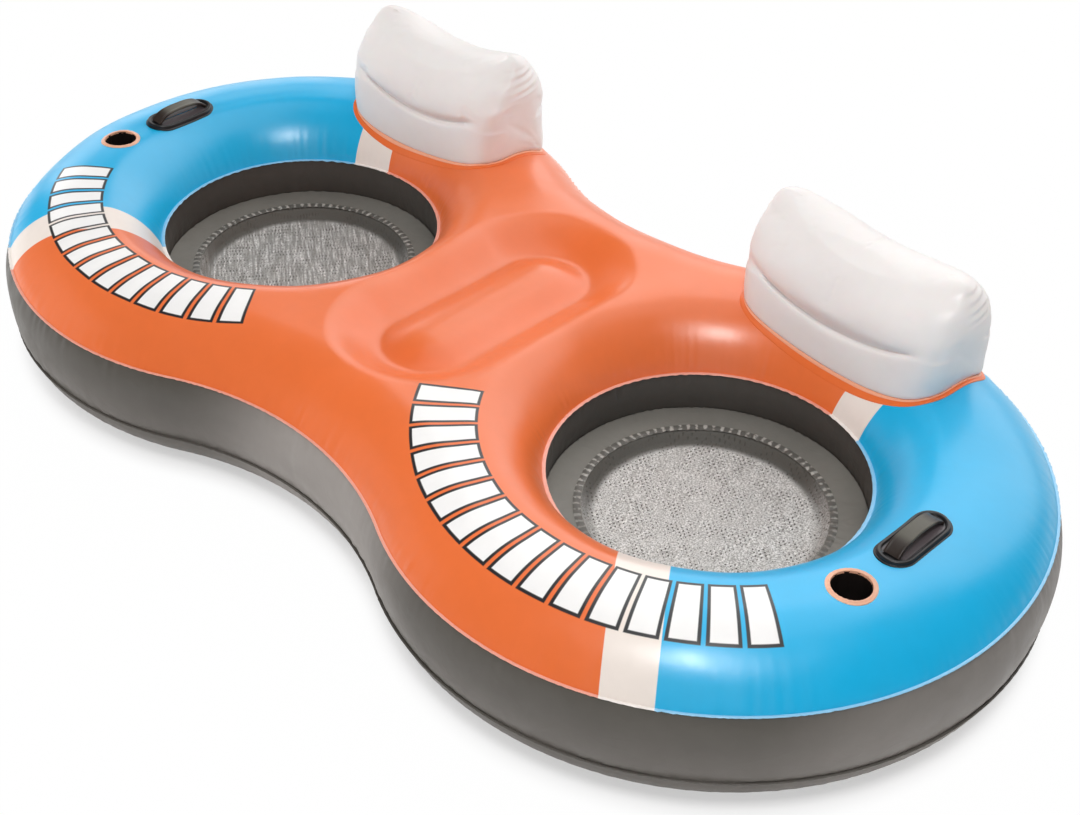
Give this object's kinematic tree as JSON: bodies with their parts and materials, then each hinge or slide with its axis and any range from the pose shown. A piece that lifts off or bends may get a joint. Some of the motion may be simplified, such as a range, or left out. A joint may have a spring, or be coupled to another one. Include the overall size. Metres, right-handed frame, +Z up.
{
  "type": "two-person river tube",
  "caption": "Inflatable river tube for sitting side by side: seat rings joined at a waist, with mesh seats, backrests, cup holders and carry handles.",
  "frame": {"origin": "centre of the underside, on the ground below the middle of the waist", "axes": "+X to the right-hand ring seen from the open side, +Y towards the backrests, +Z up"},
  "size_m": [2.4, 1.2476, 0.528],
  "materials": {
    "printed_vinyl": "satin printed vinyl",
    "grey_vinyl": "satin vinyl",
    "seat_vinyl": "satin vinyl",
    "seat_mesh": "woven polyester mesh",
    "orange_vinyl": "satin vinyl",
    "white_vinyl": "satin vinyl",
    "black_vinyl": "satin vinyl",
    "charcoal_rubber": "moulded",
    "valve_plastic": "moulded, milky"
  },
  "bodies": {
    "tube": {"top_sheet": "printed_vinyl", "side_band": "grey_vinyl", "bottom_sheet": "grey_vinyl", "chamber_divider": "white_vinyl", "seat_wall_left": "grey_vinyl", "seat_ring_left": "seat_vinyl", "net_weld_strip_left": "seat_vinyl", "seat_net_left": "seat_mesh", "cup_wall_left": "black_vinyl", "cup_floor_left": "black_vinyl", "cup_rim_left": "orange_vinyl", "handle_base_left": "black_vinyl", "handle_grip_left": "charcoal_rubber", "backrest_base_left": "orange_vinyl", "backrest_cushion_left": "white_vinyl", "tie_web_left": "white_vinyl", "main_valve_left_flange": "grey_vinyl", "backrest_valve_left_flange": "white_vinyl", "seat_wall_right": "grey_vinyl", "seat_ring_right": "seat_vinyl", "net_weld_strip_right": "seat_vinyl", "seat_net_right": "seat_mesh", "cup_wall_right": "black_vinyl", "cup_floor_right": "black_vinyl", "cup_rim_right": "orange_vinyl", "handle_base_right": "black_vinyl", "handle_grip_right": "charcoal_rubber", "backrest_base_right": "orange_vinyl", "backrest_cushion_right": "white_vinyl", "tie_web_right": "white_vinyl", "main_valve_right_flange": "grey_vinyl", "backrest_valve_right_flange": "white_vinyl"},
    "main_valve_left_stem": {"main_valve_left_stem": "valve_plastic"},
    "main_valve_left_cap": {"main_valve_left_cap": "valve_plastic"},
    "main_valve_left_flap": {"main_valve_left_flap": "valve_plastic"},
    "backrest_valve_left_stem": {"backrest_valve_left_stem": "valve_plastic"},
    "backrest_valve_left_cap": {"backrest_valve_left_cap": "valve_plastic"},
    "main_valve_right_stem": {"main_valve_right_stem": "valve_plastic"},
    "main_valve_right_cap": {"main_valve_right_cap": "valve_plastic"},
    "main_valve_right_flap": {"main_valve_right_flap": "valve_plastic"},
    "backrest_valve_right_stem": {"backrest_valve_right_stem": "valve_plastic"},
    "backrest_valve_right_cap": {"backrest_valve_right_cap": "valve_plastic"}
  },
  "joints": [
    {"name": "main_valve_left_stem_slide", "type": "slide", "parent": "tube", "child": "main_valve_left_stem", "axis": [0.1175, 0.9931, 0], "range_m": [0, 0.0145]},
    {"name": "main_valve_left_cap_hinge", "type": "hinge", "parent": "main_valve_left_stem", "child": "main_valve_left_cap", "pos_m": [-0.07436, 0.50043, 0.1645], "axis": [-0.9931, 0.1175, 0], "range_deg": [-150, 0]},
    {"name": "main_valve_left_flap_hinge", "type": "hinge", "parent": "main_valve_left_stem", "child": "main_valve_left_flap", "pos_m": [-0.07698, 0.47829, 0.1608], "axis": [-0.9931, 0.1175, 0], "range_deg": [0, 60]},
    {"name": "backrest_valve_left_stem_slide", "type": "slide", "parent": "tube", "child": "backrest_valve_left_stem", "axis": [0, 1, 0], "range_m": [0, 0.0145]},
    {"name": "backrest_valve_left_cap_hinge", "type": "hinge", "parent": "backrest_valve_left_stem", "child": "backrest_valve_left_cap", "pos_m": [-0.575, 0.5396, 0.3825], "axis": [-1, 0, 0], "range_deg": [-150, 0]},
    {"name": "main_valve_right_stem_slide", "type": "slide", "parent": "tube", "child": "main_valve_right_stem", "axis": [-0.1175, 0.9931, 0], "range_m": [0, 0.0145]},
    {"name": "main_valve_right_cap_hinge", "type": "hinge", "parent": "main_valve_right_stem", "child": "main_valve_right_cap", "pos_m": [0.07436, 0.50043, 0.1645], "axis": [-0.9931, -0.1175, 0], "range_deg": [-150, 0]},
    {"name": "main_valve_right_flap_hinge", "type": "hinge", "parent": "main_valve_right_stem", "child": "main_valve_right_flap", "pos_m": [0.07698, 0.47829, 0.1608], "axis": [-0.9931, -0.1175, 0], "range_deg": [0, 60]},
    {"name": "backrest_valve_right_stem_slide", "type": "slide", "parent": "tube", "child": "backrest_valve_right_stem", "axis": [0, 1, 0], "range_m": [0, 0.0145]},
    {"name": "backrest_valve_right_cap_hinge", "type": "hinge", "parent": "backrest_valve_right_stem", "child": "backrest_valve_right_cap", "pos_m": [0.575, 0.5396, 0.3825], "axis": [-1, 0, 0], "range_deg": [-150, 0]}
  ]
}
